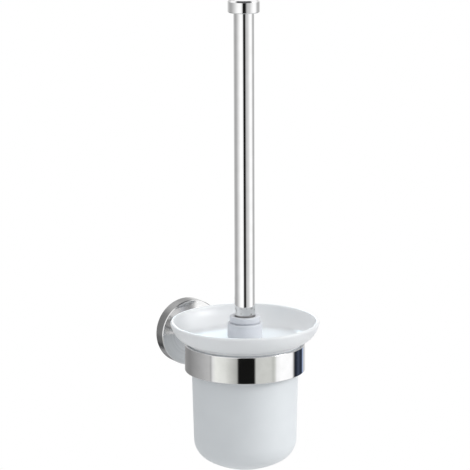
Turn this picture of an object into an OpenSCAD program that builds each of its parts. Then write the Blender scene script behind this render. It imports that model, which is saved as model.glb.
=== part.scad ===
// Wall-mounted toilet brush set: a round steel rosette carries a short arm and a flat ring,
// a frosted glass cup hangs in the ring, and the brush hangs in the cup under its dish lid.
// The origin is the centre of the rosette's back on the wall, the room is on the -Y side, +Z is up.

/* [Wall rosette] */
// Outer diameter of the rosette
rosette_d = 53.8; // [50:0.2:66]
// How far the rosette stands out from the wall
rosette_depth = 10.3; // [8:0.1:14]
// Wall thickness of the rosette
rosette_wall = 2.3; // [1.6:0.1:2.8]
// Bevel round the front edge of the rosette
rosette_bevel = 0.6; // [0.4:0.1:2]

/* [Wall plate] */
// Diameter of the hidden wall plate
plate_d = 40; // [38:0.5:44]
// Thickness of the wall plate
plate_t = 5.4; // [4.5:0.1:6]
// Diameter of the two wall screw holes
screw_hole_d = 4.8; // [3.5:0.1:5.5]
// Distance between the two wall screw holes
screw_spacing = 26; // [24:0.5:28]

/* [Arm and ring] */
// Distance from the wall to the axis of the cup
reach = 96; // [85:1:140]
// Diameter of the arm
arm_d = 12; // [9:0.5:16]
// Outer diameter of the ring
ring_d = 94.4; // [86:0.2:110]
// Wall thickness of the ring
ring_wall = 1.8; // [1.2:0.1:2.4]
// Height of the ring
ring_h = 21.4; // [18:0.2:30]
// Thickness of the ring's inward lip
lip_t = 1.6; // [1:0.1:2.4]
// Thickness of the clear liner in the ring
liner_t = 0.8; // [0.5:0.1:1.2]

/* [Glass cup] */
// Width of the ledge by which the cup hangs in the ring
ledge_w = 2.3; // [1.6:0.1:4]
// How much the cup narrows from the ring to its foot, on each side
cup_draft = 1.4; // [0:0.1:4]
// Depth of the cup below the middle of the ring
cup_drop = 90.7; // [80:0.1:120]
// Radius of the cup's bottom corner
cup_corner = 18.3; // [14:0.1:24]
// How far the cup's bottom bulges below its round corner
cup_dome = 6.1; // [0.5:0.1:8]
// Thickness of the cup's wall
cup_wall = 3.2; // [2.4:0.1:3.8]
// Thickness of the cup's floor
cup_floor = 4; // [2.5:0.1:6]
// How far the glass stands above the ring
cup_rise = 0.4; // [0.4:0.1:4]

/* [Lid] */
// How far the dish lid reaches past the ring, on each side
lid_overhang = 11.2; // [6:0.1:16]
// Height of the dish lid
lid_h = 16.4; // [13:0.1:17]
// Thickness of the glass of the lid
lid_t = 3; // [2.4:0.1:4]
// Radius of the curve from the floor of the dish to its wall
lid_curve = 17.2; // [15.8:0.1:20]
// Height of the soft rim ring between the cup and the lid
rim_ring_h = 0.9; // [0.8:0.1:3]

/* [Handle] */
// Diameter of the handle tube
tube_d = 16; // [14:0.5:18]
// Wall thickness of the handle tube
tube_wall = 1; // [0.6:0.1:1.5]
// Visible length of the tube between the collar and the end cap
tube_show = 238.3; // [120:0.1:320]
// Diameter of the hub on the floor of the dish
hub_d = 27.2; // [26:0.2:34]
// Height of the hub above the floor of the dish
hub_h = 12; // [10:0.1:18]
// Diameter of the collar on the hub
collar_d = 24; // [22:0.2:26]
// Height of the collar
collar_h = 4.6; // [3:0.1:10]
// Width of the groove between the hub and the collar
groove_h = 0.8; // [0.4:0.1:1.6]
// Diameter of the end cap
cap_d = 24.8; // [20:0.2:34]
// Height of the end cap
cap_h = 9.7; // [7:0.1:16]
// Bevel round the top of the end cap
cap_bevel = 1.4; // [0.5:0.1:2]

/* [Brush head] */
// Diameter of the steel stem
stem_d = 6; // [5:0.5:7]
// Diameter of the plastic core that carries the bristles
core_d = 19; // [17:0.5:22]
// Clearance between the bristles and the cup's wall
head_gap = 3.4; // [1.5:0.1:8]
// Clearance between the bristles and the cup's floor
tip_gap = 4.5; // [2:0.1:8]
// Depth of the highest row of bristles below the middle of the ring
row_top = 20; // [18:0.5:24]
// Distance between rows of bristles
row_pitch = 5.2; // [4.6:0.1:5.4]
// Thickness of a bristle strand
strand_d = 0.9; // [0.6:0.1:1.2]

/* [Hidden] */
$fn = 96;
cut = 1;

// clearances
seat_gap = 0.2;
snap_gap = 0.05;
drop_in_gap = 0.35;
lip_gap = 0.7;

// wall fixing, as depths from the wall
face_back = rosette_depth - rosette_wall;
plate_lean = 1.4;
countersink = 2.2;
pad_w = 9;
grub_d = 4;
grub_tip_d = 2.4;
grub_depth = plate_t * 0.6;
arm_thread_d = 5;
arm_thread_l = 13;
screw_head_d = 9.2;
screw_head_h = 2.6;
head_recess = screw_head_h + plate_t - face_back + 0.6;

// ring and liner, as heights from the middle of the ring
ring_top = ring_h / 2;
ring_bottom = -ring_top;
ring_edge = 0.6;
ring_bore_r = ring_d / 2 - ring_wall;
liner_r = ring_bore_r - snap_gap;
liner_top = ring_top - 2.5;
cup_seat = ring_bottom + lip_t + liner_t;

// cup
cup_r = liner_r - liner_t - drop_in_gap;
neck_r = cup_r - ledge_w;
foot_r = neck_r - cup_draft;
lip_r = neck_r + lip_gap;
cup_rim = ring_top + cup_rise;
cup_bore_r = cup_r - cup_wall;
rim_round = 1;
floor_corner = cup_corner - cup_wall;

// lid, with the centre of the curve of its wall
lid_bottom = cup_rim + rim_ring_h;
lid_top = lid_bottom + lid_h;
lid_floor = lid_bottom + lid_t;
lid_r = ring_d / 2 + lid_overhang;
curve_x = lid_r - lid_curve;
curve_z = lid_bottom + lid_curve;
mid_curve = lid_curve - lid_t / 2;
rim_z = lid_top - lid_t / 2;
rim_lean = asin((curve_z - rim_z) / mid_curve);
lid_hole_r = stem_d / 2 + 4;
gasket_t = 0.5;

// handle, upwards from the floor of the dish
hub_bottom = lid_floor + gasket_t;
hub_top = lid_floor + hub_h;
tube_foot = hub_top - 6;
collar_bottom = hub_top + groove_h;
collar_top = collar_bottom + collar_h;
cap_bottom = collar_top + tube_show;
bore_r = tube_d / 2 - tube_wall;
insert_l = 20;
thread_l = 15;
stud_d = 6;
stud_grip = 5;

// nut below the lid, and the plastic core of the brush head
nut_h = 7.5;
nut_flange_h = 1.8;
nut_key = 19;
nut_top = lid_bottom - gasket_t;
nut_bottom = nut_top - nut_h;
core_r = core_d / 2;
spine_r = core_r - 3;
bands = 4;
band_h = 2 * row_pitch;
head_top = row_pitch / 2 - row_top;
dome_z = head_top - bands * band_h;
neck_l = 12;
stem_bottom = head_top - 28;

// bristles
head_r = foot_r - cup_wall - head_gap;
tip_reach = dome_z + cup_drop - cup_floor - tip_gap;
tufts = 11;
strands = 4;
fan = 10;
tilt = 4;
root_step = 0.6;
root_lift = 0.7;
bury = 0.6;
uneven = 0.9;

// places its children on the axis of the cup and the brush
module on_cup_axis() {
    translate([0, -reach, 0]) children();
}

// turns its children so that their +Z points out of the wall
module out_of_wall() {
    rotate([90, 0, 0]) children();
}

// solid cylinder between two heights
module rod(r, bottom, top) {
    translate([0, 0, bottom]) cylinder(r = r, h = top - bottom);
}

// flat ring or sleeve between two heights
module sleeve(inner_r, outer_r, bottom, top) {
    difference() {
        rod(outer_r, bottom, top);
        rod(inner_r, bottom - cut, top + cut);
    }
}

// hexagonal bar across flats between two heights
module hex_bar(key, bottom, top) {
    translate([0, 0, bottom]) cylinder(d = key / cos(30), h = top - bottom, $fn = 6);
}

// upright rectangle from one corner to the other, with rounded corners
module rounded_box_2d(left, bottom, right, top, r) {
    translate([left + r, bottom]) square([right - left - 2 * r, top - bottom]);
    translate([left, bottom + r]) square([right - left, top - bottom - 2 * r]);
    for (x = [left + r, right - r], z = [bottom + r, top - r]) translate([x, z]) circle(r);
}

// quarter of a disc, right of its centre and below it
module lower_quarter_2d(r) {
    intersection() {
        circle(r);
        translate([0, -r]) square(r);
    }
}

// steel disc on the wall: its edge leans in towards the wall, so that the grub screw pulls it tight
module wall_plate() {
    color("silver")
        out_of_wall()
            difference() {
                cylinder(r1 = plate_d / 2 - plate_lean, r2 = plate_d / 2, h = plate_t);
                for (side = [-1, 1])
                    translate([side * screw_spacing / 2, 0, 0]) {
                        rod(screw_hole_d / 2, -cut, plate_t + cut);
                        translate([0, 0, plate_t - countersink])
                            cylinder(r1 = screw_hole_d / 2, r2 = screw_hole_d / 2 + countersink + cut,
                                     h = countersink + cut);
                    }
                if (head_recess > 0)
                    rod(screw_head_d / 2 + 1, plate_t - head_recess, plate_t + cut);
            }
}

// polished drum over the plate, with three pads inside that centre it
module rosette_cover() {
    rim_r = rosette_d / 2 - rosette_wall;
    color("lightgray")
        out_of_wall()
            difference() {
                union() {
                    rotate_extrude()
                        polygon([[0, face_back], [rim_r, face_back], [rim_r, 0],
                                 [rosette_d / 2, 0], [rosette_d / 2, rosette_depth - rosette_bevel],
                                 [rosette_d / 2 - rosette_bevel, rosette_depth],
                                 [0, rosette_depth]]);
                    for (turn = [30, 150, 270])
                        rotate([0, 0, turn])
                            translate([plate_d / 2 + seat_gap, -pad_w / 2, 1])
                                cube([rim_r + 1 - plate_d / 2, pad_w, face_back]);
                }
                rod(arm_thread_d / 2 + seat_gap, face_back - cut, rosette_depth + cut);
                translate([0, -plate_d / 2 + cut, grub_depth])
                    rotate([90, 0, 0]) cylinder(d = grub_d, h = rosette_d / 2);
            }
}

// headless screw in the underside of the rosette, with a blunt cone that bears on the plate's edge
module clamp_screw() {
    tip_r = plate_d / 2 - plate_lean * (1 - (grub_depth + grub_tip_d / 2) / plate_t);
    tail_r = rosette_d / 2 - 0.8;
    cone_l = (grub_d - grub_tip_d) / 2;
    color("dimgray")
        translate([0, -grub_depth, 0])
            difference() {
                rotate_extrude()
                    polygon([[0, -tail_r], [grub_d / 2, -tail_r], [grub_d / 2, -tip_r - cone_l],
                             [grub_tip_d / 2, -tip_r], [0, -tip_r]]);
                hex_bar(2, -tail_r - cut, 2 - tail_r);
            }
}

// screw from inside the rosette into the foot of the arm
module arm_screw() {
    color("dimgray")
        out_of_wall()
            difference() {
                union() {
                    rod(screw_head_d / 2, face_back - screw_head_h, face_back);
                    rod(arm_thread_d / 2, face_back - cut, rosette_depth + arm_thread_l - 2);
                }
                hex_bar(3, face_back - screw_head_h - cut, face_back - 1);
            }
}

// round bar from the rosette to the ring, cut to the ring's curve where it is welded on
module bracket_arm() {
    color("lightgray")
        difference() {
            out_of_wall() rod(arm_d / 2, rosette_depth, reach);
            out_of_wall() rod(arm_thread_d / 2, rosette_depth - cut, rosette_depth + arm_thread_l);
            on_cup_axis() rod(ring_d / 2, -arm_d, arm_d);
        }
}

// flat polished ring with an inward lip at its foot that carries the cup
module ring_band() {
    color("lightgray")
        on_cup_axis()
            rotate_extrude() {
                rounded_box_2d(ring_bore_r, ring_bottom, ring_d / 2, ring_top, ring_edge);
                rounded_box_2d(lip_r, ring_bottom, ring_d / 2, ring_bottom + lip_t, ring_edge);
            }
}

// clear plastic liner that keeps the glass off the steel
module ring_liner() {
    color("whitesmoke")
        on_cup_axis() {
            sleeve(lip_r, liner_r, cup_seat - liner_t, cup_seat);
            sleeve(liner_r - liner_t, liner_r, cup_seat - liner_t, liner_top);
        }
}

// half section of the lower cup, for its outside or its inside: a bulging bottom that runs
// smoothly into a round corner, and a tapered wall
module cup_2d(foot_r, neck_r, corner, bottom, neck_z) {
    corner_x = foot_r - corner;
    corner_z = bottom + corner + cup_dome;
    dome_r = corner + cup_dome / 2 + pow(corner_x, 2) / (2 * cup_dome);
    reach_out = 3 * foot_r / (dome_r - corner);
    translate([corner_x, corner_z]) lower_quarter_2d(corner);
    intersection() {
        translate([0, bottom + dome_r]) circle(dome_r);
        polygon([[0, corner_z], [corner_x, corner_z],
                 [corner_x * (1 + reach_out), corner_z - (dome_r - corner - cup_dome) * reach_out],
                 [0, bottom - 3 * foot_r]]);
    }
    polygon([[0, corner_z], [foot_r, corner_z], [neck_r, neck_z], [0, neck_z]]);
}

// frosted glass cup that hangs in the ring by the ledge under its collar
module glass_cup() {
    flare_bottom = cup_seat - 3;
    flare_top = cup_seat + 5;
    color("lightcyan")
        on_cup_axis()
            rotate_extrude() {
                difference() {
                    union() {
                        cup_2d(foot_r, neck_r, cup_corner, -cup_drop, cup_seat);
                        translate([0, cup_seat]) square([cup_r - rim_round, flare_top - cup_seat]);
                    }
                    cup_2d(foot_r - cup_wall, neck_r - cup_wall, floor_corner,
                           cup_floor - cup_drop, flare_bottom);
                    polygon([[0, flare_bottom - cut], [neck_r - cup_wall - cut, flare_bottom - cut],
                             [neck_r - cup_wall, flare_bottom], [cup_bore_r, flare_top],
                             [cup_bore_r, flare_top + cut], [0, flare_top + cut]]);
                }
                rounded_box_2d(cup_bore_r, flare_top - 2 * rim_round, cup_r, cup_rim, rim_round);
                rounded_box_2d(neck_r - rim_round, cup_seat, cup_r, flare_top, rim_round);
            }
}

// soft ring on the cup's rim that the lid rests and turns on
module rim_ring() {
    color("gainsboro")
        on_cup_axis()
            rotate_extrude()
                difference() {
                    union() {
                        translate([cup_bore_r - 1, cup_rim])
                            square([cup_r + 1 - cup_bore_r, lid_curve]);
                        translate([cup_bore_r - 1, cup_rim - 3]) square([1 - snap_gap, 3 + cut / 2]);
                    }
                    translate([curve_x, curve_z]) circle(lid_curve + seat_gap, $fn = 144);
                    translate([0, lid_bottom - seat_gap]) square([curve_x, lid_curve]);
                }
}

// frosted glass dish: flat floor with a hole, a wall that curves up and a rounded rim
module lid_dish() {
    far = 3 * lid_curve;
    color("lightcyan")
        on_cup_axis()
            rotate_extrude() {
                translate([lid_hole_r, lid_bottom]) square([curve_x - lid_hole_r, lid_t]);
                translate([curve_x, curve_z])
                    intersection() {
                        difference() {
                            circle(lid_curve, $fn = 144);
                            circle(lid_curve - lid_t, $fn = 144);
                        }
                        polygon([[0, 0], [0, -far], [far, -far],
                                 [far * cos(rim_lean), -far * sin(rim_lean)]]);
                    }
                translate([curve_x + mid_curve * cos(rim_lean), rim_z]) circle(lid_t / 2);
            }
}

// soft washer between the hub and the floor of the dish
module lid_gasket_upper() {
    color("gainsboro") on_cup_axis() sleeve(lid_hole_r, hub_d / 2 - 1, lid_floor, hub_bottom);
}

// soft washer between the dish and the nut
module lid_gasket_lower() {
    color("gainsboro") on_cup_axis() sleeve(lid_hole_r, nut_key / 2 + 2, nut_top, lid_bottom);
}

// white plastic hub on the lid: a spigot centres it in the glass and a socket takes the tube
module lid_hub() {
    color("white")
        on_cup_axis()
            difference() {
                union() {
                    rotate_extrude()
                        rounded_box_2d(0, hub_bottom, hub_d / 2, hub_top, 0.8);
                    rod(lid_hole_r - seat_gap, lid_bottom + seat_gap, hub_bottom + 1);
                }
                rod(stem_d / 2, lid_bottom - cut, tube_foot + cut);
                rod(tube_d / 2, tube_foot, hub_top + cut);
            }
}

// white plastic nut that clamps the dish from below
module lid_nut() {
    color("white")
        on_cup_axis()
            difference() {
                union() {
                    hex_bar(nut_key, nut_bottom, nut_top);
                    rod(nut_key / 2 + 2.5, nut_top - nut_flange_h, nut_top);
                }
                rod(stem_d / 2, nut_bottom - cut, nut_top + cut);
            }
}

// white plastic collar round the foot of the tube, on a narrower step that leaves a groove
module handle_collar() {
    color("white")
        on_cup_axis()
            difference() {
                union() {
                    rod(collar_d / 2 - 1.4, hub_top, collar_bottom + 1);
                    rotate_extrude() rounded_box_2d(0, collar_bottom, collar_d / 2, collar_top, 0.8);
                }
                rod(tube_d / 2, hub_top - cut, collar_top + cut);
                translate([0, 0, collar_top - 0.8])
                    cylinder(r1 = tube_d / 2, r2 = tube_d / 2 + 0.8 + cut, h = 0.8 + cut);
            }
}

// polished steel tube
module handle_tube() {
    color("lightgray") on_cup_axis() sleeve(bore_r, tube_d / 2, tube_foot, cap_bottom);
}

// threaded insert in the foot of the tube
module tube_insert() {
    color("goldenrod")
        on_cup_axis()
            difference() {
                rod(bore_r, tube_foot, tube_foot + insert_l);
                rod(stem_d / 2, tube_foot - cut, tube_foot + thread_l + 2);
            }
}

// threaded insert in the head of the tube
module cap_insert() {
    color("goldenrod")
        on_cup_axis() sleeve(stud_d / 2, bore_r, cap_bottom - insert_l + stud_d, cap_bottom);
}

// headless stud that joins the end cap to its insert
module cap_stud() {
    color("dimgray") on_cup_axis() rod(stud_d / 2, cap_bottom - 9, cap_bottom + stud_grip);
}

// polished disc on the end of the tube
module end_cap() {
    color("lightgray")
        on_cup_axis()
            difference() {
                translate([0, 0, cap_bottom])
                    rotate_extrude()
                        polygon([[0, 0], [cap_d / 2 - 0.5, 0], [cap_d / 2, 0.5],
                                 [cap_d / 2, cap_h - cap_bevel], [cap_d / 2 - cap_bevel, cap_h],
                                 [0, cap_h]]);
                rod(stud_d / 2, cap_bottom - cut, cap_bottom + stud_grip + 0.4);
            }
}

// steel stem from the tube's insert through the hub, the dish and the nut into the brush core
module brush_stem() {
    color("silver") on_cup_axis() rod(stem_d / 2, stem_bottom, tube_foot + thread_l);
}

// white plastic core: a neck up to the nut, a shoulder and the spine inside the bristle bands
module brush_core() {
    color("white")
        on_cup_axis()
            difference() {
                rotate_extrude()
                    polygon([[0, dome_z], [spine_r, dome_z], [spine_r, head_top],
                             [core_r, head_top], [core_r, head_top + 4],
                             [spine_r, head_top + neck_l], [spine_r, nut_bottom],
                             [0, nut_bottom]]);
                rod(stem_d / 2, stem_bottom, nut_bottom + cut);
            }
}

// fan of strands that starts on the core and points along +X, each a three-sided bristle
module tuft(start, end, seed) {
    shorter = rands(0, uneven, strands, seed);
    for (i = [0 : strands - 1]) {
        across = i - (strands - 1) / 2;
        side = i % 2 * 2 - 1;
        translate([start, across * root_step, side * root_lift])
            rotate([0, 90 - side * tilt, across * fan])
                cylinder(d = strand_d, h = end - start - shorter[i], $fn = 3);
    }
}

// slice of the core with two rows of tufts, counted from the top
module bristle_band(index) {
    top = head_top - index * band_h;
    color("white")
        on_cup_axis() {
            sleeve(spine_r, core_r, top - band_h, top);
            for (row = [0, 1], i = [0 : tufts - 1])
                translate([0, 0, top - (row + 0.5) * row_pitch])
                    rotate([0, 0, (i + row / 2) * 360 / tufts])
                        tuft(core_r - bury, head_r, 100 * index + 20 * row + i);
        }
}

module bristle_band_top() { bristle_band(0); }
module bristle_band_upper() { bristle_band(1); }
module bristle_band_lower() { bristle_band(2); }
module bristle_band_bottom() { bristle_band(3); }

// round end of the core, with tufts that spread to the rounded lower end of the brush
module bristle_tip() {
    color("white")
        on_cup_axis()
            translate([0, 0, dome_z]) {
                rotate_extrude() lower_quarter_2d(core_r);
                for (ring = [[28, 9], [55, 6], [82, 2]], i = [0 : ring[1] - 1])
                    rotate([0, ring[0], (i + 0.25) * 360 / ring[1]])
                        tuft(core_r - bury,
                             1 / norm([cos(ring[0]) / head_r, sin(ring[0]) / tip_reach]),
                             500 + 20 * ring[1] + i);
            }
}

wall_plate();
rosette_cover();
clamp_screw();
arm_screw();
bracket_arm();
ring_band();
ring_liner();
glass_cup();
rim_ring();
lid_dish();
lid_gasket_upper();
lid_gasket_lower();
lid_hub();
lid_nut();
handle_collar();
handle_tube();
tube_insert();
cap_insert();
cap_stud();
end_cap();
brush_stem();
brush_core();
bristle_band_top();
bristle_band_upper();
bristle_band_lower();
bristle_band_bottom();
bristle_tip();
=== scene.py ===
import math
import random

import bpy
from mathutils import Matrix, Vector


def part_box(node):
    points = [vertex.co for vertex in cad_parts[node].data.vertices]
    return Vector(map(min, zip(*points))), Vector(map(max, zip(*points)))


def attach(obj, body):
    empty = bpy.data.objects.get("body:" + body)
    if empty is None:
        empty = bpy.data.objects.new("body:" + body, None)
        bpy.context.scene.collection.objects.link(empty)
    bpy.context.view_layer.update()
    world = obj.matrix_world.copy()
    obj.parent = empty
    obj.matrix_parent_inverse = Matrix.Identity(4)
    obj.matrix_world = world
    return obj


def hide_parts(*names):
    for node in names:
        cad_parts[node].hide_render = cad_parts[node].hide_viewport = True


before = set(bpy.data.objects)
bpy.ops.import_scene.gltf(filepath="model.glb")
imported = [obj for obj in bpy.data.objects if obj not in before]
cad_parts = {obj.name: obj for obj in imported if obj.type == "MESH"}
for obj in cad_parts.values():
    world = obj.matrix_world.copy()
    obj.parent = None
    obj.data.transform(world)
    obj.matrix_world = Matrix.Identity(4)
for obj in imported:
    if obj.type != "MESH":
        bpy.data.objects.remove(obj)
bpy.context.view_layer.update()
bpy.ops.object.select_all(action="DESELECT")

# Camera.
# It stands in front of the wall and to the left of the cup, a little above
# it, two metres away, with a long lens that holds the tube nearly upright.
MM = 0.001
REACH = -sum(corner.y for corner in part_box("lid_dish")) / 2
CUP_AXIS = (0, -REACH, 0)
AIM_HEIGHT, AIM_LEFT, AWAY = 96.8 * MM, 7.45 * MM, 2.0
SENSOR, LENS = 36, 197.2
azimuth = math.radians(-30.2)
elevation = math.radians(12.27)
roll = math.radians(-0.24)
to_the_right = Vector((math.cos(azimuth), math.sin(azimuth), 0))
ahead = Vector((-math.sin(azimuth) * math.cos(elevation),
                math.cos(azimuth) * math.cos(elevation), -math.sin(elevation)))
aim = Vector((0, -REACH, AIM_HEIGHT)) - to_the_right * AIM_LEFT
bpy.ops.object.camera_add(location=aim - ahead * AWAY)
camera = bpy.context.object
camera.name = "camera"
camera.rotation_euler = ahead.to_track_quat("-Z", "Y").to_euler()
camera.rotation_euler.rotate_axis("Z", roll)
camera.data.sensor_width = SENSOR
camera.data.lens = LENS
bpy.context.scene.camera = camera
bpy.context.scene.view_settings.view_transform = "Standard"


# Studio room.
# A white cove with grey panels on the left, a broad bright panel on the right,
# a narrow dark gap in front and a navy flag at the right rear. Polished steel
# mirrors them as upright bands; soft surfaces are lit by an even pale glow.
def grey(level):
    """Linear value of a screen grey between 0 and 255."""
    share = level / 255
    return share / 12.92 if share < 0.04045 else ((share + 0.055) / 1.055) ** 2.4


NAVY, PEWTER = (0.8, 1.0, 1.5), (1.0, 1.01, 0.965)
PEWTER_WITHIN, NAVY_FROM, NAVY_TO = 60, 110, 148
LOW_BANDS = [(-180, 150), (-150, 130), (-131, 128), (-100, 157), (-73, 181), (-69, 165),
             (-65, 216), (-58, 229), (-38, 215), (-28, 193), (-16, 168), (-12.5, 20),
             (17.5, 20), (21, 195), (43, 200), (50, 199), (55, 183), (59, 200), (63, 238),
             (72, 252), (98, 250), (103, 238), (108, 110), (111, 36), (116, 40), (123, 72),
             (134, 44), (140, 60), (144, 172), (152, 188), (166, 207)]
HIGH_BANDS = [(-180, 190), (-150, 196), (-118, 160), (-100, 164), (-84, 186), (-68, 214),
              (-52, 240), (-40, 253), (-22, 250), (-12, 214), (-7, 22), (11, 22), (17, 150),
              (26, 190), (44, 204), (58, 236), (72, 252), (90, 250), (104, 196), (122, 158),
              (140, 190), (165, 227)]
ROOM_GAIN = 1.45
LOW_TO_HIGH, SHADOW_EDGE, CARPET_EDGE = (-0.2521, -0.2453), (-0.46, -0.42), (-0.95, -0.7)
ROOF_EDGE, HATCH_EDGE, GLOW_EDGE = (0.40, 0.62), (0.80, 0.92), (-0.6, 0.9)
GLOW_BELOW, GLOW_ABOVE = (0.30, 0.305, 0.31), (0.55, 0.557, 0.565)
WHITE = (1, 1, 1)
SHADOW, CARPET = (0.42, 0.43, 0.45), (0.22, 0.22, 0.23)
ROOF, HATCH = (0.92, 0.92, 0.92), (0.09, 0.09, 0.095)
room = bpy.data.worlds.new("studio_room")
bpy.context.scene.world = room
room.use_nodes = True
nodes, links = room.node_tree.nodes, room.node_tree.links
nodes.clear()


def room_value(kind, **settings):
    """Adds a node to the room's tree, with its settings."""
    node = nodes.new(kind)
    for key, value in settings.items():
        setattr(node, key, value)
    return node


def room_step(value, low, high):
    """Goes smoothly from 0 to 1 while the value goes from low to high."""
    step = room_value("ShaderNodeMapRange", interpolation_type="SMOOTHSTEP")
    step.inputs["From Min"].default_value = low
    step.inputs["From Max"].default_value = high
    links.new(value, step.inputs["Value"])
    return step.outputs["Result"]


def room_mix(factor, first, second):
    """Mixes two colours, or a colour and a socket, by a factor socket."""
    mix = room_value("ShaderNodeMix", data_type="RGBA")
    links.new(factor, mix.inputs["Factor"])
    for socket, colour in ((mix.inputs[6], first), (mix.inputs[7], second)):
        if isinstance(colour, bpy.types.NodeSocket):
            links.new(colour, socket)
        else:
            socket.default_value = (*colour, 1)
    return mix.outputs[2]


way = room_value("ShaderNodeTexCoord")
faced = room_value("ShaderNodeMapping", vector_type="POINT")
faced.inputs["Rotation"].default_value[2] = math.radians(90) - azimuth
links.new(way.outputs["Generated"], faced.inputs["Vector"])
parts = room_value("ShaderNodeSeparateXYZ")
links.new(faced.outputs["Vector"], parts.inputs["Vector"])
bearing = room_value("ShaderNodeMath", operation="ARCTAN2")
links.new(parts.outputs["Y"], bearing.inputs[0])
links.new(parts.outputs["X"], bearing.inputs[1])
lap = room_value("ShaderNodeMapRange")
lap.inputs["From Min"].default_value = -math.pi
lap.inputs["From Max"].default_value = math.pi
links.new(bearing.outputs["Value"], lap.inputs["Value"])
height = parts.outputs["Z"]


def upright_bands(stops, tinted=False):
    """Colour ramp round the room, from stops of bearing in degrees and screen grey."""
    ramp = room_value("ShaderNodeValToRGB")
    elements = ramp.color_ramp.elements
    elements.remove(elements[1])
    for bearing_deg, level in stops:
        share = (bearing_deg + 180) / 360
        element = elements.new(share) if share else elements[0]
        tint = WHITE
        if tinted and abs(bearing_deg) < PEWTER_WITHIN:
            tint = PEWTER
        elif tinted and NAVY_FROM < bearing_deg < NAVY_TO:
            tint = NAVY
        element.color = (*[grey(level) * part for part in tint], 1)
    links.new(lap.outputs["Result"], ramp.inputs["Fac"])
    return ramp.outputs["Color"]


bands = room_mix(room_step(height, *LOW_TO_HIGH), upright_bands(LOW_BANDS, tinted=True),
                 upright_bands(HIGH_BANDS))
shadow = room_value("ShaderNodeMix", data_type="RGBA", blend_type="MULTIPLY")
shadow.inputs["Factor"].default_value = 1
links.new(bands, shadow.inputs[6])
shadow.inputs[7].default_value = (*SHADOW, 1)
under = room_mix(room_step(height, *CARPET_EDGE), CARPET, shadow.outputs[2])
bands = room_mix(room_step(height, *SHADOW_EDGE), under, bands)
bands = room_mix(room_step(height, *ROOF_EDGE), bands, ROOF)
bands = room_mix(room_step(height, *HATCH_EDGE), bands, HATCH)
glow = room_mix(room_step(height, *GLOW_EDGE), GLOW_BELOW, GLOW_ABOVE)
ray = room_value("ShaderNodeLightPath")
lighting = room_mix(ray.outputs["Is Glossy Ray"], glow, bands)
mirrored = room_value("ShaderNodeBackground")
mirrored.inputs["Strength"].default_value = ROOM_GAIN
links.new(lighting, mirrored.inputs["Color"])
backdrop = room_value("ShaderNodeBackground")
backdrop.inputs["Color"].default_value = (*WHITE, 1)
seen = room_value("ShaderNodeMixShader")
links.new(ray.outputs["Is Camera Ray"], seen.inputs["Fac"])
links.new(mirrored.outputs["Background"], seen.inputs[1])
links.new(backdrop.outputs["Background"], seen.inputs[2])
links.new(seen.outputs["Shader"], room_value("ShaderNodeOutputWorld").inputs["Surface"])

# Key light.
# A soft square panel high on the right, which lets the glass and the white
# plastic turn from pale grey on their left to nearly white on their right.
LAMP_AWAY = 1.3


def square_panel(name, bearing_deg, height_deg, size, energy):
    """A lit panel that faces the cup, at a bearing from the camera and a height."""
    side_way = math.radians(bearing_deg) - math.radians(90) + azimuth
    rise = math.radians(height_deg)
    outward = Vector((math.cos(side_way) * math.cos(rise),
                      math.sin(side_way) * math.cos(rise), math.sin(rise)))
    bpy.ops.object.light_add(type="AREA",
                             location=Vector(CUP_AXIS) + outward * LAMP_AWAY)
    panel = bpy.context.object
    panel.name = name
    panel.rotation_euler = outward.to_track_quat("Z", "Y").to_euler()
    panel.data.size = size
    panel.data.energy = energy
    return panel


square_panel("key_light", bearing_deg=76, height_deg=27, size=0.5, energy=7.4)

# Glint lamp.
# A small cool panel behind the set. It reaches the dish lid alone, and only
# puts a soft glint on the floor of the dish.
COOL = (0.72, 0.9, 1)
glint = square_panel("glint_lamp", bearing_deg=187, height_deg=25, size=0.22, energy=3.9)
glint.data.color = COOL
glint.visible_diffuse = False
glint_takers = bpy.data.collections.new("glint_takers")
glint.light_linking.receiver_collection = glint_takers

# Floor.
# A plain pale disc below the set, small enough that the camera looks past it.
FLOOR_R, FLOOR_HEIGHT = 0.6, -0.32
bpy.ops.mesh.primitive_circle_add(vertices=128, radius=FLOOR_R, fill_type="NGON",
                                  location=(0, -REACH, FLOOR_HEIGHT))
floor = bpy.context.object
floor.name = "floor"
bpy.ops.object.transform_apply(location=True)
pale = bpy.data.materials.new("pale_floor")
pale.use_nodes = True
shader = pale.node_tree.nodes["Principled BSDF"]
shader.inputs["Base Color"].default_value = (0.8, 0.8, 0.8, 1)
shader.inputs["Roughness"].default_value = 0.85
floor.data.materials.append(pale)


# Wall plate.
# A thick zinc-plated steel disc screwed to the wall through two countersunk
# holes. Its plating is dull, with a faint mottle of crystals.
def new_finish(name, colour, metallic, roughness):
    """Starts a finish for one kind of surface: its nodes, links and main shader."""
    finish = bpy.data.materials.new(name)
    finish.use_nodes = True
    shader = finish.node_tree.nodes["Principled BSDF"]
    shader.inputs["Base Color"].default_value = (*colour, 1)
    shader.inputs["Metallic"].default_value = metallic
    shader.inputs["Roughness"].default_value = roughness
    return finish, finish.node_tree.nodes, finish.node_tree.links, shader


def place_in_mm(nodes, links, centre=(0, 0, 0), stretch=(1, 1, 1)):
    """Place on the object in millimetres from a centre, stretched along the axes."""
    place = nodes.new("ShaderNodeTexCoord")
    mapping = nodes.new("ShaderNodeMapping")
    for i in range(3):
        mapping.inputs["Scale"].default_value[i] = stretch[i] / MM
        mapping.inputs["Location"].default_value[i] = -centre[i] * stretch[i] / MM
    links.new(place.outputs["Object"], mapping.inputs["Vector"])
    return mapping.outputs["Vector"]


def cloud(nodes, links, place, scale, detail=2.0):
    """Soft random pattern between 0 and 1, with so many spots to the millimetre."""
    noise = nodes.new("ShaderNodeTexNoise")
    noise.inputs["Scale"].default_value = scale
    noise.inputs["Detail"].default_value = detail
    links.new(place, noise.inputs["Vector"])
    return noise.outputs["Fac"]


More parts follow.
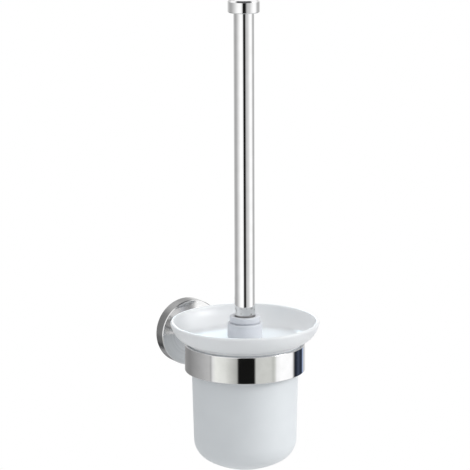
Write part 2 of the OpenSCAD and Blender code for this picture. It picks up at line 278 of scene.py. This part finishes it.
# Nearly all of a cloud lies between these two values.
CLOUD_LOW, CLOUD_HIGH = 0.3, 0.7


def between(nodes, links, pattern, low, high, socket):
    """Drives a socket between two values with a pattern."""
    spread = nodes.new("ShaderNodeMapRange")
    spread.inputs["From Min"].default_value = CLOUD_LOW
    spread.inputs["From Max"].default_value = CLOUD_HIGH
    spread.inputs["To Min"].default_value = low
    spread.inputs["To Max"].default_value = high
    links.new(pattern, spread.inputs["Value"])
    links.new(spread.outputs["Result"], socket)


def shades(nodes, links, pattern, dark, light, socket):
    """Drives a colour socket between two colours with a pattern."""
    mix = nodes.new("ShaderNodeMix")
    mix.data_type = "RGBA"
    mix.inputs[6].default_value = (*dark, 1)
    mix.inputs[7].default_value = (*light, 1)
    between(nodes, links, pattern, 0, 1, mix.inputs["Factor"])
    links.new(mix.outputs[2], socket)


def relief(nodes, links, pattern, strength, depth_mm, shader):
    """Gives the shader a fine relief."""
    bump = nodes.new("ShaderNodeBump")
    bump.inputs["Strength"].default_value = strength
    bump.inputs["Distance"].default_value = depth_mm * MM
    links.new(pattern, bump.inputs["Height"])
    links.new(bump.outputs["Normal"], shader.inputs["Normal"])


def dress(node, finish):
    """Puts a finish on a solid that keeps its own shape."""
    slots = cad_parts[node].data.materials
    slots.clear()
    slots.append(finish)


zinc, nodes, links, shader = new_finish("zinc_plating", (0.55, 0.56, 0.58), 1.0, 0.4)
place = place_in_mm(nodes, links)
mottle = cloud(nodes, links, place, 0.9, 4)
shades(nodes, links, mottle, (0.44, 0.46, 0.49), (0.62, 0.63, 0.64), shader.inputs["Base Color"])
between(nodes, links, mottle, 0.5, 0.32, shader.inputs["Roughness"])
relief(nodes, links, cloud(nodes, links, place, 5), 0.25, 0.02, shader)
dress("wall_plate", zinc)

# Arm screw.
# A socket-head cap screw of bright zinc-plated steel, driven from inside the
# rosette into the foot of the arm.
screw_steel, nodes, links, shader = new_finish("screw_steel", (0.5, 0.5, 0.51), 1.0, 0.3)
place = place_in_mm(nodes, links)
shades(nodes, links, cloud(nodes, links, place, 1.6), (0.40, 0.40, 0.41), (0.60, 0.60, 0.61),
       shader.inputs["Base Color"])
between(nodes, links, cloud(nodes, links, place, 4), 0.24, 0.42, shader.inputs["Roughness"])
dress("arm_screw", screw_steel)


# Arm.
# A short round bar of stainless steel, mirror polished, welded to the ring and
# screwed to the rosette. Faint polishing lines run along it.
def polished_steel(name, centre, stretch, tone=0.70, haze=(0.03, 0.075)):
    """Mirror-polished stainless steel with a thin haze and hair-fine polishing lines."""
    finish, nodes, links, shader = new_finish(name, (tone,) * 3, 1.0, haze[0])
    lines = cloud(nodes, links, place_in_mm(nodes, links, centre, stretch), 1.0, 3)
    smear = cloud(nodes, links, place_in_mm(nodes, links, centre), 0.11, 2)
    dark, light = (tone - 0.025,) * 3, (tone + 0.02, tone + 0.02, tone + 0.024)
    shades(nodes, links, smear, dark, light, shader.inputs["Base Color"])
    both = nodes.new("ShaderNodeMath")
    both.operation = "MULTIPLY"
    links.new(lines, both.inputs[0])
    links.new(smear, both.inputs[1])
    between(nodes, links, both.outputs["Value"], *haze, shader.inputs["Roughness"])
    relief(nodes, links, lines, 0.05, 0.002, shader)
    return finish


dress("bracket_arm", polished_steel("arm_steel", (0, 0, 0), (9, 0.4, 9)))

# Rosette.
# A drawn cap of stainless steel, clamped over the wall plate. Its side and face
# are brushed in circles on the lathe, so they mirror only softly.
ROSETTE_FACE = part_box("rosette_cover")[0].y / MM
ROSETTE_BEVEL = 0.6
# The side is painted far darker than the face of the same steel: a painted dark reflection.
FACE_TONES, SIDE_PAINTED_REFLECTION = ((0.74,) * 3, (0.90,) * 3), ((0.26,) * 3, (0.37,) * 3)
FACE_HAZE, SIDE_HAZE = (0.06, 0.11), (0.14, 0.24)
rosette_steel, nodes, links, shader = new_finish("rosette_steel", (0.62, 0.62, 0.62), 1.0, 0.2)
place = place_in_mm(nodes, links)
flat = nodes.new("ShaderNodeVectorMath")
flat.operation = "MULTIPLY"
flat.inputs[1].default_value = (1, 0, 1)
links.new(place, flat.inputs[0])
radius = nodes.new("ShaderNodeVectorMath")
radius.operation = "LENGTH"
links.new(flat.outputs["Vector"], radius.inputs[0])
depth = nodes.new("ShaderNodeSeparateXYZ")
links.new(place, depth.inputs["Vector"])
circles = nodes.new("ShaderNodeCombineXYZ")
links.new(radius.outputs["Value"], circles.inputs["X"])
links.new(depth.outputs["Y"], circles.inputs["Y"])
lathe_lines = cloud(nodes, links, circles.outputs["Vector"], 2.2, 5)
blotches = cloud(nodes, links, place, 0.18, 3)
side = nodes.new("ShaderNodeMapRange")
side.inputs["From Min"].default_value = ROSETTE_FACE
side.inputs["From Max"].default_value = ROSETTE_FACE + ROSETTE_BEVEL
links.new(depth.outputs["Y"], side.inputs["Value"])
tones = nodes.new("ShaderNodeMix")
tones.data_type = "RGBA"
shades(nodes, links, lathe_lines, *FACE_TONES, tones.inputs[6])
shades(nodes, links, lathe_lines, *SIDE_PAINTED_REFLECTION, tones.inputs[7])
links.new(side.outputs["Result"], tones.inputs["Factor"])
links.new(tones.outputs[2], shader.inputs["Base Color"])
hazes = nodes.new("ShaderNodeMix")
between(nodes, links, blotches, *FACE_HAZE, hazes.inputs[2])
between(nodes, links, blotches, *SIDE_HAZE, hazes.inputs[3])
links.new(side.outputs["Result"], hazes.inputs["Factor"])
links.new(hazes.outputs[0], shader.inputs["Roughness"])
relief(nodes, links, lathe_lines, 0.25, 0.006, shader)
dress("rosette_cover", rosette_steel)

# Clamp screw.
# A small headless screw in the underside of the rosette, blackened steel, that
# pulls the rosette tight on the slanted edge of the plate.
blackened, nodes, links, shader = new_finish("blackened_steel", (0.1, 0.1, 0.11), 0.8, 0.45)
place = place_in_mm(nodes, links)
shades(nodes, links, cloud(nodes, links, place, 1.2), (0.06, 0.06, 0.07), (0.17, 0.17, 0.18),
       shader.inputs["Base Color"])
dress("clamp_screw", blackened)


# Ring.
# A flat band of stainless steel, rolled, welded and mirror polished, with an
# inward lip at its foot on which the cup hangs. All of its edges are eased.
STEPS, WELD, SMOOTH_UNDER = 160, 2e-6, 40


def eased(corners, steps=5):
    """Rounds the corners of a closed half section. A corner is radius, height and rounding."""
    outline = []
    for i, (r, z, ease) in enumerate(corners):
        here = Vector((r, z))
        if ease == 0:
            outline.append(here)
            continue
        back = (Vector(corners[i - 1][:2]) - here).normalized()
        on = (Vector(corners[(i + 1) % len(corners)][:2]) - here).normalized()
        half = back.angle(on) / 2
        middle = here + (back + on).normalized() * (ease / math.sin(half))
        first = here + back * (ease / math.tan(half)) - middle
        last = here + on * (ease / math.tan(half)) - middle
        for k in range(steps + 1):
            outline.append(middle + first.slerp(last, k / steps).normalized() * ease)
    return outline


def turned(name, outline, closed=True):
    """Draws a half section point by point and spins it round the axis of the cup."""
    points = [Vector((r * MM, -REACH, z * MM)) for r, z in outline]
    bpy.ops.object.select_all(action="DESELECT")
    bpy.ops.mesh.primitive_plane_add(size=MM, location=points[0])
    piece = bpy.context.object
    piece.name = piece.data.name = name
    bpy.ops.object.transform_apply(location=True)
    bpy.ops.object.mode_set(mode="EDIT")
    bpy.ops.mesh.select_all(action="SELECT")
    bpy.ops.mesh.merge(type="CENTER")
    for before, point in zip(points, points[1:] + points[:1] * closed):
        bpy.ops.mesh.extrude_vertices_move(TRANSFORM_OT_translate={"value": point - before})
    bpy.ops.mesh.select_all(action="SELECT")
    bpy.ops.mesh.spin(steps=STEPS, angle=math.tau, center=CUP_AXIS, axis=(0, 0, 1))
    bpy.ops.mesh.select_all(action="SELECT")
    bpy.ops.mesh.remove_doubles(threshold=WELD)
    bpy.ops.mesh.normals_make_consistent(inside=False)
    bpy.ops.object.mode_set(mode="OBJECT")
    bpy.ops.object.shade_smooth_by_angle(angle=math.radians(SMOOTH_UNDER))
    bpy.ops.object.modifier_add(type="WEIGHTED_NORMAL")
    even_faces = piece.modifiers[-1]
    even_faces.keep_sharp = True
    bpy.ops.object.modifier_apply(modifier=even_faces.name)
    return piece


def finished(piece, finish, body, slot, *replaced):
    """Gives a new piece its finish and body, and hides the solids it stands for; slot is not
    used.
    """
    piece.data.materials.clear()
    piece.data.materials.append(finish)
    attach(piece, body)
    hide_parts(*replaced)


def heights(node):
    """Outer radius, lowest and highest point of a solid on the cup's axis, in millimetres."""
    low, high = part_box(node)
    return (high.x - low.x) / 2 / MM, low.z / MM, high.z / MM


RING_WALL, LIP_R, LIP_T, RING_EASE = 1.8, 42.6, 1.6, 0.6
ring_r, ring_foot, ring_top = heights("ring_band")
ring_bore = ring_r - RING_WALL
ring = turned("ring", eased([(ring_bore, ring_top, RING_EASE), (ring_r, ring_top, RING_EASE),
                             (ring_r, ring_foot, RING_EASE), (LIP_R, ring_foot, RING_EASE),
                             (LIP_R, ring_foot + LIP_T, RING_EASE),
                             (ring_bore, ring_foot + LIP_T, 0)]))
ring_steel = polished_steel("ring_steel", CUP_AXIS, (0.25, 0.25, 14))
finished(ring, ring_steel, "wall_bracket", "polished_steel", "ring_band")

# Ring liner.
# A thin clear sleeve of plastic with a foot, pushed into the ring so that the
# glass never touches the steel.
liner_plastic, nodes, links, shader = new_finish("liner_plastic", (0.86, 0.88, 0.9), 0.0, 0.18)
place = place_in_mm(nodes, links)
shades(nodes, links, cloud(nodes, links, place, 0.3), (0.80, 0.83, 0.86), (0.90, 0.92, 0.94),
       shader.inputs["Base Color"])
between(nodes, links, cloud(nodes, links, place, 1.5), 0.14, 0.28, shader.inputs["Roughness"])
dress("ring_liner", liner_plastic)


# Glass cup.
# Pressed glass, etched to a satin all over: a collar that hangs in the ring, a
# slightly tapered wall, and a bulging bottom with a round corner.
def satin_glass(name, dark, light, cloudy, depth_mm):
    """Etched glass with a soft sheen and the finest grain.

    Light wanders in it to a depth, so that its shaded side stays pale.
    """
    finish, nodes, links, shader = new_finish(name, light, 0.0, 0.5)
    place = place_in_mm(nodes, links, CUP_AXIS)
    cast = cloud(nodes, links, place, 0.03, 2)
    shades(nodes, links, cast, dark, light, shader.inputs["Base Color"])
    between(nodes, links, cloud(nodes, links, place, 0.6, 3), 0.42, 0.56,
            shader.inputs["Roughness"])
    shader.inputs["IOR"].default_value = 1.5
    shader.inputs["Subsurface Weight"].default_value = cloudy
    shader.inputs["Subsurface Radius"].default_value = (1, 1, 1)
    shader.inputs["Subsurface Scale"].default_value = depth_mm * MM
    shader.inputs["Sheen Weight"].default_value = 0.12
    shader.inputs["Sheen Roughness"].default_value = 0.5
    relief(nodes, links, cloud(nodes, links, place, 9, 2), 0.12, 0.012, shader)
    return finish


def bow(centre_r, centre_z, size, start, end, steps):
    """Points of an arc in the half section. Angles are in degrees, from straight down."""
    turns = [math.radians(start + (end - start) * k / steps) for k in range(steps + 1)]
    return [(centre_r + size * math.sin(t), centre_z - size * math.cos(t)) for t in turns]


COLLAR_FOOT, NECK_R, FOOT_R, GLASS_WALL, CUP_FLOOR = -8.3, 41.9, 40.5, 3.2, 4.0
CUP_CORNER, CUP_DOME, FLARE_FOOT, FLARE_TOP, RIM_PLAY = 18.3, 6.1, -11.3, -3.3, 0.03
CUP_EASE, RIM_DEEP, DOME_STEPS, CORNER_STEPS = 1, 3, 22, 18


def cup_bottom(corner, bottom):
    """Bulging bottom and round corner of the cup's outside or inside, from the axis out."""
    corner_r = FOOT_R - CUP_CORNER
    dome = corner + CUP_DOME / 2 + corner_r ** 2 / (2 * CUP_DOME)
    meet = math.degrees(math.asin(corner_r / (dome - corner)))
    return (bow(0, bottom + dome, dome, 0, meet, DOME_STEPS)[:-1]
            + bow(corner_r, bottom + corner + CUP_DOME, corner, meet, 90, CORNER_STEPS))


cup_r, cup_base, cup_rim = heights("glass_cup")
cup_rim -= RIM_PLAY
rim_ease = eased([(cup_r - GLASS_WALL, cup_rim - RIM_DEEP, 0),
                  (cup_r - GLASS_WALL, cup_rim, CUP_EASE), (cup_r, cup_rim, CUP_EASE),
                  (cup_r, COLLAR_FOOT, CUP_EASE), (NECK_R, COLLAR_FOOT, 0)])
outside = cup_bottom(CUP_CORNER, cup_base)
inside = cup_bottom(CUP_CORNER - GLASS_WALL, cup_base + CUP_FLOOR)
flare = [(NECK_R - GLASS_WALL, FLARE_FOOT), (cup_r - GLASS_WALL, FLARE_TOP)]
cup = turned("cup", inside + flare + rim_ease[1:] + outside[::-1], closed=False)
cup_glass = satin_glass("cup_glass", (0.76, 0.79, 0.81), (0.80, 0.83, 0.85),
                        cloudy=0.3, depth_mm=3)
finished(cup, cup_glass, "cup", "frosted_glass", "glass_cup")

# Rim ring.
# A soft milky ring pressed on the rim of the cup, so that the lid neither chips
# it nor rattles. A faint glow stands for the light that the glass passes on.
RIM_GLOW = 0.15
milky, nodes, links, shader = new_finish("milky_rubber", (0.9, 0.91, 0.92), 0.0, 0.45)
place = place_in_mm(nodes, links)
shades(nodes, links, cloud(nodes, links, place, 0.4), (0.88, 0.89, 0.90), (0.93, 0.94, 0.95),
       shader.inputs["Base Color"])
between(nodes, links, cloud(nodes, links, place, 2.5), 0.38, 0.55, shader.inputs["Roughness"])
shader.inputs["Emission Color"].default_value = (1, 1, 1, 1)
shader.inputs["Emission Strength"].default_value = RIM_GLOW
LID_T, LID_HOLE, LID_CURVE = 3.0, 7.0, 17.2
SEAT_PLAY, SNAP_DEEP, SNAP_WALL, SNAP_PLAY, SEAT_STEPS = 0.12, 3.0, 1.0, 0.05, 8
lid_r, lid_foot, lid_top = heights("lid_dish")
rim_r = LID_T / 2
mid_curve = LID_CURVE - rim_r
curve_z = lid_foot + LID_CURVE
lean = math.degrees(math.acos((curve_z - lid_top + rim_r) / mid_curve))
curve_r = lid_r - rim_r - mid_curve * math.sin(math.radians(lean))
seat = LID_CURVE + SEAT_PLAY
bore_r, seat_z = cup_r - GLASS_WALL, cup_rim + RIM_PLAY
seat_ends = math.degrees(math.asin((cup_r - curve_r) / seat))
soft_ring = turned("soft_ring", [(bore_r - SNAP_WALL, seat_z - SNAP_DEEP),
                                 (bore_r - SNAP_PLAY, seat_z - SNAP_DEEP),
                                 (bore_r - SNAP_PLAY, seat_z), (cup_r, seat_z)]
                   + bow(curve_r, curve_z, seat, seat_ends, 0, SEAT_STEPS)
                   + [(bore_r - SNAP_WALL, curve_z - seat)])
finished(soft_ring, milky, "rim", "soft_ring", "rim_ring")

# Dish lid.
# Etched glass like the cup's: a flat floor with a hole, a wall that curves up
# and outwards, and a fire-polished round rim. It alone takes the glint lamp.
OUTER_STEPS, RIM_STEPS, INNER_STEPS = 26, 12, 24
rim_at = (curve_r + mid_curve * math.sin(math.radians(lean)), lid_top - rim_r)
lid = turned("dish_lid", [(LID_HOLE, lid_foot + LID_T), (LID_HOLE, lid_foot)]
             + bow(curve_r, curve_z, LID_CURVE, 0, lean, OUTER_STEPS)
             + bow(*rim_at, rim_r, lean, lean + 180, RIM_STEPS)[1:-1]
             + bow(curve_r, curve_z, LID_CURVE - LID_T, lean, 0, INNER_STEPS))
lid_glass = satin_glass("lid_glass", (0.87, 0.905, 0.94), (0.91, 0.94, 0.975),
                        cloudy=0.8, depth_mm=8)
shader = lid_glass.node_tree.nodes["Principled BSDF"]
shader.inputs["Transmission Weight"].default_value = 0.12
shader.inputs["Coat Weight"].default_value = 0.5
shader.inputs["Coat Roughness"].default_value = 0.28
finished(lid, lid_glass, "brush", "frosted_glass", "lid_dish")
glint_takers.objects.link(lid)

# Gaskets.
# Two soft washers keep the hub above and the nut below off the glass.
# They share the milky rubber of the rim ring, with its faint painted glow.
dress("lid_gasket_upper", milky)
dress("lid_gasket_lower", milky)

# Hub.
# A white moulded block on the floor of the dish. A spigot below it centres it
# in the hole of the glass, and the tube stands in its socket.
HUB_EASE, SPIGOT_R, SPIGOT_LIFT, STEM_R, SOCKET_R, SOCKET_DEEP = 0.8, 6.8, 0.2, 3.02, 8.03, 6
SPIGOT_EASE, SOCKET_EASE = 0.3, 0.2


def moulded_white(name, tone):
    """White moulded plastic with a fine sparked grain and a soft gloss."""
    finish, nodes, links, shader = new_finish(name, tone, 0.0, 0.3)
    place = place_in_mm(nodes, links)
    dull = [part * 0.95 for part in tone]
    shades(nodes, links, cloud(nodes, links, place, 0.12, 3), dull, tone,
           shader.inputs["Base Color"])
    between(nodes, links, cloud(nodes, links, place, 1.4, 3), 0.26, 0.38,
            shader.inputs["Roughness"])
    relief(nodes, links, cloud(nodes, links, place, 3, 1), 0.06, 0.01, shader)
    return finish


white_plastic = moulded_white("white_plastic", (0.70, 0.72, 0.76))
hub_r, _, hub_top = heights("lid_hub")
hub_foot = heights("lid_gasket_upper")[2]
spigot_foot = lid_foot + SPIGOT_LIFT
hub = turned("hub", eased([(STEM_R, spigot_foot, 0), (SPIGOT_R, spigot_foot, SPIGOT_EASE),
                           (SPIGOT_R, hub_foot, 0), (hub_r, hub_foot, HUB_EASE),
                           (hub_r, hub_top, HUB_EASE), (SOCKET_R, hub_top, SOCKET_EASE),
                           (SOCKET_R, hub_top - SOCKET_DEEP, 0),
                           (STEM_R, hub_top - SOCKET_DEEP, 0)]))
finished(hub, white_plastic, "brush", "white_plastic", "lid_hub")

# Nut.
# A white moulded hexagon nut with a flange. It clamps the dish from below.
dress("lid_nut", white_plastic)

# Collar.
# A second white moulded ring round the foot of the tube. It stands on a narrow
# step, which leaves a dark groove above the hub.
STEP_R, GROOVE, MOUTH = 10.6, 0.8, 0.8
collar_r, collar_foot, collar_top = heights("handle_collar")
collar = turned("collar", eased([(SOCKET_R, collar_foot, 0), (STEP_R, collar_foot, 0),
                                 (STEP_R, collar_foot + GROOVE, 0),
                                 (collar_r, collar_foot + GROOVE, HUB_EASE),
                                 (collar_r, collar_top, HUB_EASE),
                                 (SOCKET_R + MOUTH, collar_top, SOCKET_EASE),
                                 (SOCKET_R, collar_top - MOUTH, 0)]))
finished(collar, white_plastic, "brush", "white_plastic", "handle_collar")

# Handle tube.
# A thin-walled stainless tube, drawn and mirror polished, with eased ends. A
# dark line and dark spots are painted where it enters the collar: a painted
# reflection of the shaded gap at its foot.
TUBE_WALL, TUBE_EASE = 1.0, 0.2
PAINTED_SPOT_EDGE, PAINTED_SPOTS_FADE, PAINTED_SHADE_FADE = (0.56, 0.66), (4, 11, 0.6), (0.9, 1.6, 0.75)
tube_r, tube_foot, tube_top = heights("handle_tube")
tube = turned("tube", eased([(tube_r - TUBE_WALL, tube_foot, TUBE_EASE),
                             (tube_r, tube_foot, TUBE_EASE), (tube_r, collar_top, 0),
                             (tube_r, tube_top, TUBE_EASE),
                             (tube_r - TUBE_WALL, tube_top, TUBE_EASE)], steps=2))
tube_steel = polished_steel("tube_steel", CUP_AXIS, (6, 6, 0.05), tone=0.72)
nodes, links = tube_steel.node_tree.nodes, tube_steel.node_tree.links
shader = nodes["Principled BSDF"]
place = place_in_mm(nodes, links, (0, -REACH, collar_top * MM))
above = nodes.new("ShaderNodeSeparateXYZ")
links.new(place, above.inputs["Vector"])


def fading(start, end, top):
    """A pattern that fades from its full strength to nothing up the tube."""
    fade = nodes.new("ShaderNodeMapRange")
    fade.inputs["From Min"].default_value = start
    fade.inputs["From Max"].default_value = end
    fade.inputs["To Min"].default_value = top
    fade.inputs["To Max"].default_value = 0
    links.new(above.outputs["Z"], fade.inputs["Value"])
    return fade.outputs["Result"]


# Painted reflection: dark spots and a dark line near the collar stand for the shaded gap below.
painted_spots = nodes.new("ShaderNodeMapRange")
painted_spots.inputs["From Min"].default_value, painted_spots.inputs["From Max"].default_value = PAINTED_SPOT_EDGE
links.new(cloud(nodes, links, place, 0.45, 2), painted_spots.inputs["Value"])
faded_painted_spots = nodes.new("ShaderNodeMath")
faded_painted_spots.operation = "MULTIPLY"
links.new(painted_spots.outputs["Result"], faded_painted_spots.inputs[0])
links.new(fading(*PAINTED_SPOTS_FADE), faded_painted_spots.inputs[1])
painted_gap_shade = nodes.new("ShaderNodeMath")
painted_gap_shade.operation = "MAXIMUM"
links.new(faded_painted_spots.outputs["Value"], painted_gap_shade.inputs[0])
links.new(fading(*PAINTED_SHADE_FADE), painted_gap_shade.inputs[1])
painted_shade_mix = nodes.new("ShaderNodeMix")
painted_shade_mix.data_type = "RGBA"
painted_shade_mix.inputs[7].default_value = (0.10, 0.09, 0.08, 1)
links.new(shader.inputs["Base Color"].links[0].from_socket, painted_shade_mix.inputs[6])
links.new(painted_gap_shade.outputs["Value"], painted_shade_mix.inputs["Factor"])
links.new(painted_shade_mix.outputs[2], shader.inputs["Base Color"])
finished(tube, tube_steel, "brush", "polished_steel", "handle_tube")

# Threaded inserts.
# Turned brass plugs pressed into both ends of the tube. Cut rings from the
# lathe show on them.
brass, nodes, links, shader = new_finish("turned_brass", (0.78, 0.57, 0.28), 1.0, 0.28)
place = place_in_mm(nodes, links, CUP_AXIS, (0.1, 0.1, 3))
cuts = cloud(nodes, links, place, 1, 4)
shades(nodes, links, cuts, (0.62, 0.43, 0.19), (0.84, 0.64, 0.34), shader.inputs["Base Color"])
between(nodes, links, cuts, 0.2, 0.38, shader.inputs["Roughness"])
dress("tube_insert", brass)
dress("cap_insert", brass)

# Cap stud.
# A headless threaded rod between the upper insert and the end cap.
dress("cap_stud", screw_steel)

# End cap.
# A solid disc of stainless steel, turned and mirror polished, with a bevel
# round its top that catches a dark line of the ceiling.
CAP_BEVEL, CAP_FOOT_BEVEL, CAP_EASE, STUD_R, STUD_DEEP = 1.4, 0.5, 0.1, 3.02, 5.4
cap_r, cap_foot, cap_top = heights("end_cap")
cap = turned("end_cap_disc", eased([(0, cap_foot + STUD_DEEP, 0),
                                    (STUD_R, cap_foot + STUD_DEEP, 0), (STUD_R, cap_foot, 0),
                                    (cap_r - CAP_FOOT_BEVEL, cap_foot, CAP_EASE),
                                    (cap_r, cap_foot + CAP_FOOT_BEVEL, CAP_EASE),
                                    (cap_r, cap_top - CAP_BEVEL, CAP_EASE),
                                    (cap_r - CAP_BEVEL, cap_top, CAP_EASE),
                                    (0, cap_top, 0)], steps=2), closed=False)
cap_steel = polished_steel("cap_steel", CUP_AXIS, (5, 5, 5), tone=0.71)
finished(cap, cap_steel, "brush", "polished_steel", "end_cap")

# Stem.
# A plain steel rod from the tube's insert down into the core of the brush.
dress("brush_stem", screw_steel)

# Brush core.
# White moulded plastic: a neck under the nut that widens to the shoulder of
# the bristle head.
dress("brush_core", white_plastic)

# Bristle head.
# Tufts of white nylon set in rows in the core, and fanned over its round end.
# Each tuft is a bundle of stiff, slightly bowed filaments of uneven length.
CORE_R, SPINE_R, ROW_PITCH, ROWS_A_BAND = 9.5, 6.5, 5.2, 2
TUFTS_A_ROW, FILAMENTS, FILAMENT_R, SUNK = 16, 24, 0.15, 0.8
HEAD_R, TIP_REACH, TIP_PLAY = 33.9, 23.2, 0.5
TIP_RINGS = [(14, 14), (34, 11), (55, 8), (76, 4)]
UNEVEN, SWAY, HOLE_R, FAN_OUT, FAN_UP, SUNFLOWER_TURN = 1.6, 0.5, 1.2, 15, -8, 2.39996
TUFT_SEEDS, HEAD_SEED, TIP_SEED, FAR_END, TIP_STEPS = (11, 12, 13), 7, 100, 0.99, 14

nylon, nodes, links, shader = new_finish("white_nylon", (0.94, 0.95, 0.96), 0.0, 0.35)
place = place_in_mm(nodes, links)
shades(nodes, links, cloud(nodes, links, place, 0.8, 3), (0.88, 0.89, 0.90), (0.96, 0.97, 0.98),
       shader.inputs["Base Color"])
between(nodes, links, cloud(nodes, links, place, 2), 0.28, 0.45, shader.inputs["Roughness"])


def filament(length, draw):
    """One bristle along +X: a thin three-sided rod in three slightly bowed lengths."""
    bpy.ops.object.select_all(action="DESELECT")
    third = length * MM / 3
    bpy.ops.mesh.primitive_cylinder_add(vertices=3, radius=FILAMENT_R * MM, depth=third,
                                        location=(third / 2, 0, 0),
                                        rotation=(0, math.pi / 2, 0))
    bristle = bpy.context.object
    bpy.ops.object.transform_apply(location=True, rotation=True)
    bpy.ops.object.mode_set(mode="EDIT")
    bpy.ops.mesh.select_mode(type="FACE")
    bpy.ops.mesh.select_all(action="DESELECT")
    bpy.ops.object.mode_set(mode="OBJECT")
    for face in bristle.data.polygons:
        face.select = face.center.x > third * FAR_END
    bpy.ops.object.mode_set(mode="EDIT")
    sway = [draw.uniform(-SWAY, SWAY) * MM for _ in range(2)]
    for k in (1, 2):
        step = (third, sway[0] * k, sway[1] * k)
        bpy.ops.mesh.extrude_region_move(TRANSFORM_OT_translate={"value": step})
    bpy.ops.object.mode_set(mode="OBJECT")
    return bristle


def joined(pieces, name):
    """Joins loose pieces into the first one."""
    bpy.ops.object.select_all(action="DESELECT")
    for piece in pieces:
        piece.select_set(True)
    bpy.context.view_layer.objects.active = pieces[0]
    bpy.ops.object.join()
    pieces[0].name = pieces[0].data.name = name
    return pieces[0]


def tuft(length, seed):
    """A bundle of bristles along +X that starts in a round hole and spreads."""
    draw = random.Random(seed)
    bundle = []
    for i in range(FILAMENTS):
        bristle = filament(length - draw.uniform(0, UNEVEN), draw)
        out = math.sqrt((i + 0.5) / FILAMENTS)
        round_hole = i * SUNFLOWER_TURN
        side, up = out * math.cos(round_hole), out * math.sin(round_hole)
        bristle.matrix_world = (Matrix.Translation((0, side * HOLE_R * MM, up * HOLE_R * MM))
                                @ Matrix.Rotation(math.radians(FAN_OUT * side), 4, "Z")
                                @ Matrix.Rotation(math.radians(FAN_UP * up), 4, "Y"))
        bundle.append(bristle)
    bpy.ops.object.select_all(action="DESELECT")
    for bristle in bundle:
        bristle.select_set(True)
    bpy.ops.object.transform_apply(location=True, rotation=True)
    bunch = joined(bundle, "tuft")
    bunch.data.materials.append(nylon)
    return bunch


def planted(pattern, where):
    """A copy of a tuft, with its own mesh, moved to its place on the core."""
    copy = pattern.copy()
    copy.data = pattern.data.copy()
    bpy.context.collection.objects.link(copy)
    copy.matrix_world = where
    return copy


def hole(draw, height, turn, dip=0.0):
    """Place of a tuft on the core, either way up, from its height, its turn and its dip."""
    return (Matrix.Translation((0, -REACH, height * MM)) @ Matrix.Rotation(turn, 4, "Z")
            @ Matrix.Rotation(dip, 4, "Y") @ Matrix.Translation(((CORE_R - SUNK) * MM, 0, 0))
            @ Matrix.Rotation(draw.choice((0, math.pi)), 4, "X"))


def bristled(bed, tufts, node):
    """Joins tufts to their bed, and gives the piece its body and its solid."""
    head = joined([bed] + tufts, bed.name)
    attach(head, "brush")
    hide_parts(node)


head_foot = heights("brush_core")[1]
side_tufts = [tuft(HEAD_R - CORE_R + SUNK, seed) for seed in TUFT_SEEDS]
band_names = ["bristle_band_bottom", "bristle_band_lower", "bristle_band_upper",
              "bristle_band_top"]
draw = random.Random(HEAD_SEED)
for band, node in enumerate(band_names):
    foot = head_foot + band * ROWS_A_BAND * ROW_PITCH
    band_side = [(CORE_R, foot + row * ROW_PITCH) for row in range(ROWS_A_BAND + 1)]
    bed = turned("bristles_" + node.split("_")[-1],
                 [(SPINE_R, foot)] + band_side + [(SPINE_R, foot + ROWS_A_BAND * ROW_PITCH)])
    bed.data.materials.append(white_plastic)
    tufts = []
    for row in range(ROWS_A_BAND):
        for i in range(TUFTS_A_ROW):
            turn = math.tau * (i + row / 2) / TUFTS_A_ROW
            where = hole(draw, foot + (row + 0.5) * ROW_PITCH, turn)
            tufts.append(planted(side_tufts[draw.randrange(len(side_tufts))], where))
    bristled(bed, tufts, node)

bed = turned("bristles_tip", [(0, head_foot), (CORE_R, head_foot)]
             + bow(0, head_foot, CORE_R, 90, 0, TIP_STEPS)[1:], closed=False)
bed.data.materials.append(white_plastic)
tufts = []
for down, count in TIP_RINGS:
    dip = math.radians(down)
    end = 1 / math.hypot(math.cos(dip) / HEAD_R, math.sin(dip) / TIP_REACH)
    pattern = tuft(end - CORE_R + SUNK - TIP_PLAY, TIP_SEED + down)
    for i in range(count):
        turn = math.tau * (i + 0.25) / count
        tufts.append(planted(pattern, hole(draw, head_foot, turn, dip)))
    bpy.data.objects.remove(pattern)
for pattern in side_tufts:
    bpy.data.objects.remove(pattern)
bristled(bed, tufts, "bristle_tip")
